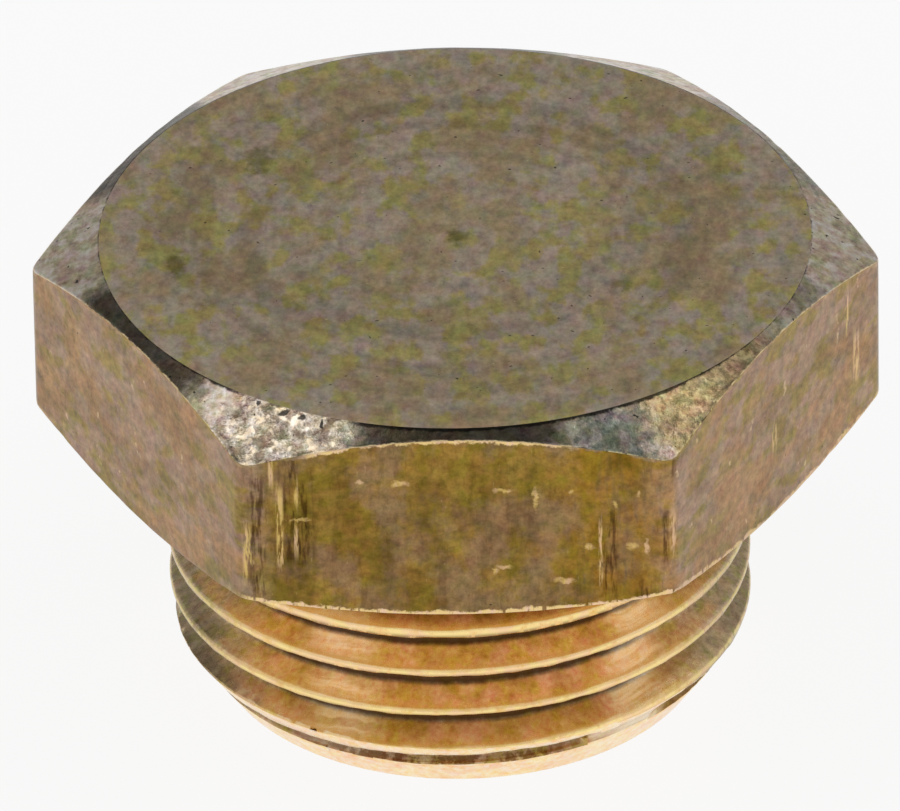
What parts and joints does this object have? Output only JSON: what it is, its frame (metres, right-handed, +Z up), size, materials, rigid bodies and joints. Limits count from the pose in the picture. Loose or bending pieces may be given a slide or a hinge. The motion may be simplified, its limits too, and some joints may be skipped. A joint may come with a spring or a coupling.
{
  "type": "hex head pipe plug",
  "caption": "Solid brass plug with a chamfered hexagon head over a short parallel pipe thread, screwed in to close a threaded port.",
  "frame": {"origin": "middle of the thread's end face, which the plug stands on", "axes": "+Z up the thread's axis to the top of the head, X across two corners of the hexagon, Y across two flats"},
  "size_m": [0.024, 0.021, 0.0139],
  "materials": {
    "brass": "turned and threaded bare brass, dulled and lightly tarnished"
  },
  "bodies": {
    "root": {"plug_body": "brass"}
  },
  "joints": []
}
